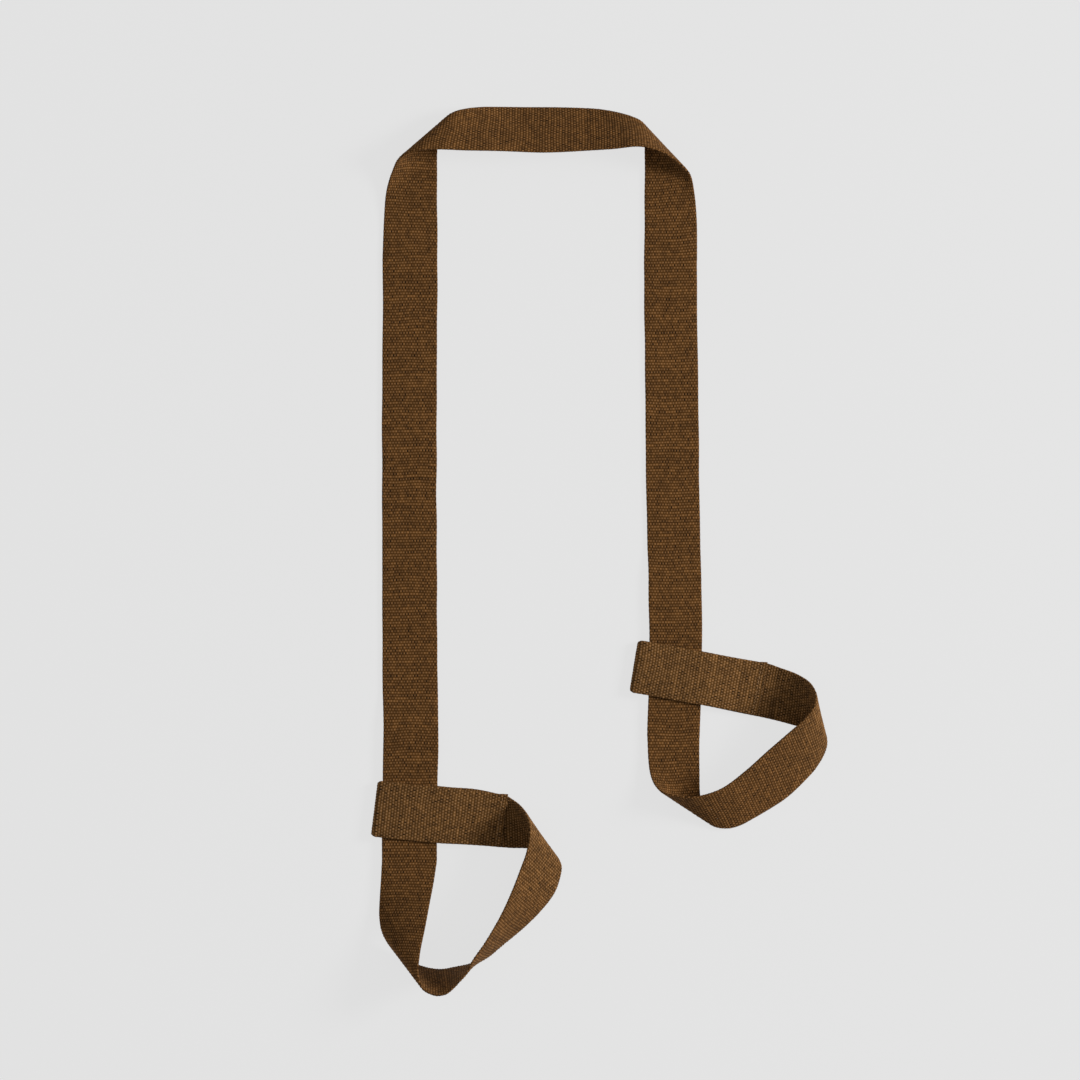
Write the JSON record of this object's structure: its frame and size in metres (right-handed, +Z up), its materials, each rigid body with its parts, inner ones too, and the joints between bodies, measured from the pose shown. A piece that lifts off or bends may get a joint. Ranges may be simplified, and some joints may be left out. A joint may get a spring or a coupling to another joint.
{
  "type": "stretching strap",
  "caption": "Flat cotton webbing strap laid out as an arch, each end folded back round its own leg and sewn into a sliding hand or foot loop.",
  "frame": {"origin": "middle of the footprint, on the floor the strap lies on", "axes": "+Z up from the floor, +Y from the loops towards the crossbar"},
  "size_m": [0.3156, 0.6138, 0.0392],
  "materials": {
    "webbing": "matt woven cotton, dark brown",
    "thread": "matt brown sewing thread"
  },
  "bodies": {
    "crossbar": {"crossbar": "webbing", "left_corner_fold": "webbing", "right_corner_fold": "webbing"},
    "left_leg_upper": {"left_leg_upper": "webbing"},
    "left_leg_lower": {"left_leg_lower": "webbing", "left_bottom_fold": "webbing", "left_twist": "webbing", "left_loop_band": "webbing"},
    "left_keeper": {"left_curl": "webbing", "left_keeper_back": "webbing", "left_keeper_turn": "webbing", "left_keeper_front": "webbing", "left_seam_stitches": "thread"},
    "right_leg_upper": {"right_leg_upper": "webbing"},
    "right_leg_lower": {"right_leg_lower": "webbing", "right_bottom_fold": "webbing", "right_loop_band": "webbing"},
    "right_keeper": {"right_curl": "webbing", "right_keeper_back": "webbing", "right_keeper_turn": "webbing", "right_keeper_front": "webbing", "right_seam_stitches": "thread"}
  },
  "joints": [
    {"name": "left_hip_bend", "type": "hinge", "parent": "crossbar", "child": "left_leg_upper", "pos_m": [-0.13075, 0.19766, 0.001], "axis": [-1, 0, 0], "range_deg": [0, 90]},
    {"name": "left_leg_bend", "type": "hinge", "parent": "left_leg_upper", "child": "left_leg_lower", "pos_m": [-0.13125, 0.03516, 0.001], "axis": [-1, 0, 0], "range_deg": [0, 90]},
    {"name": "left_keeper_slide", "type": "slide", "parent": "left_leg_lower", "child": "left_keeper", "axis": [0, 1, 0], "range_m": [-0.008, 0.03], "deforming": ["left_loop_band"]},
    {"name": "right_hip_bend", "type": "hinge", "parent": "crossbar", "child": "right_leg_upper", "pos_m": [0.049, 0.19766, 0.001], "axis": [-1, 0, 0], "range_deg": [0, 90]},
    {"name": "right_leg_bend", "type": "hinge", "parent": "right_leg_upper", "child": "right_leg_lower", "pos_m": [0.0505, 0.03516, 0.001], "axis": [-1, 0, 0], "range_deg": [0, 90]},
    {"name": "right_keeper_slide", "type": "slide", "parent": "right_leg_lower", "child": "right_keeper", "axis": [0.009, 1, 0], "range_m": [-0.015, 0.03], "deforming": ["right_loop_band"]}
  ]
}
